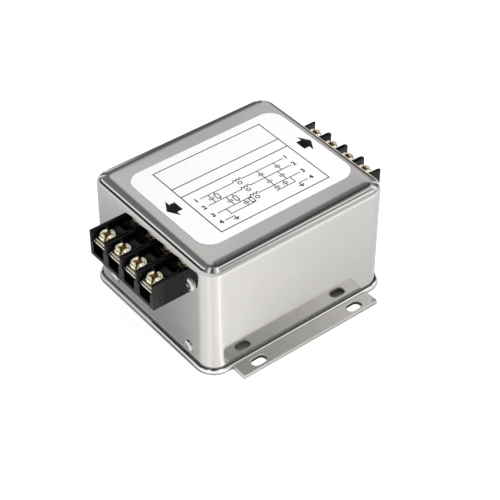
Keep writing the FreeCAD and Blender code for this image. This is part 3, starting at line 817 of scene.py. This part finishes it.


# Floor: a wide pale sheet that the filter stands on. It shows white to the camera and takes the filter's
# shadow. To the metal it glows in bright and dark streaks that fan out from the can's near corner, a painted
# reflection.

floor_mesh = bpy.data.meshes.new("floor")
floor_mesh.from_pydata([(x, y, -0.02 * mm) for x, y in rectangle(4.0, 4.0)], [], [(0, 1, 2, 3)])
floor = bpy.data.objects.new("floor", floor_mesh)
bpy.context.scene.collection.objects.link(floor)
floor_white = bpy.data.materials.new("floor_white")
floor_white.use_nodes = True
floor_white.node_tree.nodes.clear()
start = Wire(floor_white.node_tree)
from_camera, from_metal, through_glass = (
    start.node("LightPath", {}, {}, f"Is {kind} Ray") for kind in ("Camera", "Glossy", "Transmission"))
floor_points = start.node("TexCoord", {}, {}, "Object")
floor_x, floor_y = floor_points.axis("X"), floor_points.axis("Y")
round_corner_axis = start.math("ARCTAN2", can_corner_r - wall_y - floor_y, can_corner_r - wall_x - floor_x)
# Painted reflection: a glow in streaks that only rays from the metal and glass see.
streaks = (round_corner_axis * (0.5 / pi) + 0.5).ramp([
    (0.0, 0.20), (0.25, 0.10), (0.36, 0.12), (0.41, 0.16), (0.47, 0.30), (0.55, 0.36), (0.58, 0.50),
    (0.61, 0.42), (0.64, 0.30), (0.69, 0.42), (0.72, 0.50), (0.745, 0.85), (0.77, 0.48), (0.80, 0.38),
    (0.86, 0.31), (0.92, 0.14), (0.96, 0.04), (1.0, 0.0)])
seen = 0.68 * from_camera + (from_metal + through_glass) * streaks
sheet = start.node("BsdfDiffuse", {}, {"Color": (0.82, 0.82, 0.82, 1)})
glow = start.node("Emission", {}, {"Color": (1, 1, 1, 1), "Strength": seen})
lit = start.node("AddShader", {}, {0: sheet, 1: glow})
shade = start.node("BsdfDiffuse", {}, {"Color": (0.02, 0.02, 0.02, 1)})

# Painted shade: for rays from the metal the floor under the ears is a near-black sheet, which the slots'
# walls mirror.
under_ears = (abs(floor_x) < ear_x) * (abs(floor_y) < ear_out_y)
floor_surface = start.node("MixShader", {}, {0: 0.82 * under_ears * from_metal, 1: lit, 2: shade})
start.node("OutputMaterial", {}, {"Surface": floor_surface})
floor_mesh.materials.append(floor_white)


# Studio: a white tent with grey panels and dark gaps between them, and one large soft lamp on the
# camera's right. The panels are laid out by the tilt of a polished face that would mirror them.

def panels(*stops):
    """Ramp stops from (tilt in degrees, brightness), kept at the root of the tilt's sine."""
    return [(sin(radians(tilt)) ** 0.5, bright) for tilt, bright in stops]


world = bpy.data.worlds.new("tent")
world.use_nodes = True
world.node_tree.nodes.clear()
bpy.context.scene.world = world
start = Wire(world.node_tree)
direction = start.node("TexCoord", {}, {}, "Generated")
to_camera = (-0.482, -0.615, 0.624)
facing = start.node("VectorMath", {"operation": "ADD"}, {0: direction, 1: to_camera})
facing = start.node("VectorMath", {"operation": "NORMALIZE"}, {0: facing})
facing_x, facing_y = facing.axis("X"), facing.axis("Y")
slant = facing_x * facing_x + facing_y * facing_y + 1e-6
tilt_root = slant ** 0.25
sideways = facing_x * facing_x / slant
near_side = panels(
    (0, 0.74), (2.6, 0.74), (3.4, 0.55), (4.3, 0.34), (5.4, 0.24), (7.2, 0.20), (8.2, 0.10), (9.2, 0.06),
    (10.2, 0.12), (11, 0.35), (12, 0.8), (15, 1.35), (18, 1.2), (22, 0.4), (27, 0.2), (32, 0.85), (37, 1.0),
    (42, 0.6), (46, 0.5), (52, 0.65), (61, 0.9), (71, 0.97), (90, 1.0))
line_side = panels(
    (0, 0.82), (6.5, 0.80), (7.5, 0.62), (8.3, 0.30), (9.5, 0.20), (12, 0.24), (18, 0.22), (20.5, 0.35),
    (23, 0.8), (27.4, 1.5), (31, 0.9), (34, 0.2), (37, 0.02), (42, 0.0), (45, 0.1), (50, 0.8), (55, 1.1),
    (62, 1.0), (90, 1.0))
far_side = panels(
    (0, 0.70), (5.2, 0.68), (6.2, 0.46), (7.4, 0.24), (9, 0.14), (18, 0.14), (22, 0.20), (27, 0.28),
    (33, 0.40), (38, 0.50), (46, 0.54), (60, 0.40), (90, 0.4))
load_side = panels((0, 0.74), (10, 0.72), (11.5, 0.44), (13, 0.20), (17, 0.07), (40, 0.15), (90, 0.4))
round_corner = panels(
    (0, 0.3), (10, 0.35), (20, 1.6), (30, 0.6), (40, 0.03), (46, 0.4), (50, 1.4), (60, 0.22), (68, 0.25),
    (72, 0.8), (90, 0.8))


def side_light(low, high, along):
    """One ramp where the face leans to the low side and the other where it leans to the high side."""
    return (along > 0.0).mix(tilt_root.ramp(low), tilt_root.ramp(high))


across = sideways.mapped(0.25, 0.75, 0.0, 1.0, "SMOOTHSTEP")
mirrored = across.mix(side_light(near_side, far_side, facing_y), side_light(line_side, load_side, facing_x))

# The bend round the can's corners shows bright and dark spots of its own. The ears mirror the can's
# wall, and by way of it a light that grows towards the load end.
on_corner = sideways.ramp([(0.0, 0), (0.02, 0), (0.06, 1), (0.80, 1), (0.93, 0), (1.0, 0)])
on_bend = tilt_root.ramp(panels((0, 0), (10, 0), (14, 1), (44, 1), (52, 0), (90, 0)))
mirrored = (on_corner * on_bend).mix(mirrored, (sideways ** 0.25).ramp(round_corner))
on_ear = tilt_root.ramp(panels((0, 0), (34, 0), (37, 1), (45, 1), (48, 0), (90, 0)))
on_ear = on_ear * (facing_y < 0.0) * (sideways < 0.02)
mirrored = on_ear.mix(mirrored, facing_x.mapped(-0.026, 0.026, 0.40, 1.30))
on_dull = start.node("LightPath", {}, {}, "Is Diffuse Ray")
light = on_dull.mix(mirrored, (0.55, 0.55, 0.55))
start.node("OutputWorld", {}, {"Surface": start.node("Background", {}, {"Color": light, "Strength": 1.0})})

# The lamp lights the paper, the plastic and the floor, and no metal mirrors it.
lamp_data = bpy.data.lights.new("soft_lamp", "AREA")
lamp_data.shape = "SQUARE"
lamp_data.size = 0.7
lamp_data.energy = 11.0
lamp = bpy.data.objects.new("soft_lamp", lamp_data)
bpy.context.scene.collection.objects.link(lamp)
lamp.location = (0.45, -0.75, 0.80)
lamp.rotation_euler = (Vector((0, 0, 0.03)) - lamp.location).to_track_quat("-Z", "Y").to_euler()
lamp.visible_glossy = False


# Camera: where the photograph's stood, a long lens well above the filter and off its near corner.

azimuth, elevation, roll = radians(-38.674), radians(41.304), radians(0.261)
back = Vector((sin(azimuth) * cos(elevation), -cos(azimuth) * cos(elevation), sin(elevation)))
level = Vector((cos(azimuth), sin(azimuth), 0))
above = back.cross(level)
right = level * cos(roll) + above * sin(roll)
up = above * cos(roll) - level * sin(roll)
fit_unit = 1.03 * mm  # the length that the camera's place was fitted in
camera_place = (right * 5.3125 + up * 12.7742 + back * 713.19) * fit_unit
picture_width, focal_length = 500, 1523.83
camera_data = bpy.data.cameras.new("camera")
camera_data.sensor_width = 36.0
camera_data.lens = focal_length / picture_width * camera_data.sensor_width
camera_data.clip_start, camera_data.clip_end = 0.01, 20.0
camera = bpy.data.objects.new("camera", camera_data)
bpy.context.scene.collection.objects.link(camera)
camera.matrix_world = Matrix.Translation(camera_place) @ Matrix((right, up, back)).transposed().to_4x4()
bpy.context.scene.camera = camera
bpy.context.scene.view_settings.view_transform = "Standard"
